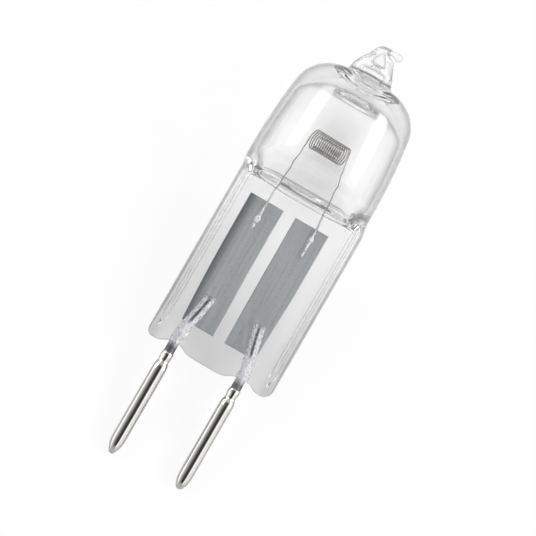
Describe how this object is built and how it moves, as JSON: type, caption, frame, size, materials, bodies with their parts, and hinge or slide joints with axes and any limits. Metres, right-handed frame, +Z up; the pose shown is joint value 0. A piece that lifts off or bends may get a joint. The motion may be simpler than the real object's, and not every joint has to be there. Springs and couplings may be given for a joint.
{
  "type": "halogen capsule bulb",
  "caption": "Clear quartz capsule lamp with a drawn-off tip, a wound filament, sealing foils in a flat pressed seal, and contact pins.",
  "frame": {"origin": "on the surface that the lamp lies on, in the middle of its length and width", "axes": "+Y along the lamp from the pins to the tip, tilted up by 10.1 degrees as it lies; +X across the pins, from the left pin to the right pin; +Z up"},
  "size_m": [0.0118, 0.0401, 0.0118],
  "materials": {
    "quartz": "clear fused quartz, fire polished",
    "tungsten": "drawn tungsten wire",
    "molybdenum_foil": "matt etched molybdenum foil",
    "molybdenum_wire": "drawn molybdenum wire, slightly oxidised",
    "nickel": "bright nickel"
  },
  "bodies": {
    "root": {"quartz_envelope": "quartz", "filament": "tungsten", "foil_left": "molybdenum_foil", "foil_right": "molybdenum_foil", "lead_left": "molybdenum_wire", "lead_right": "molybdenum_wire", "pin_left": "nickel", "pin_right": "nickel"}
  },
  "joints": []
}
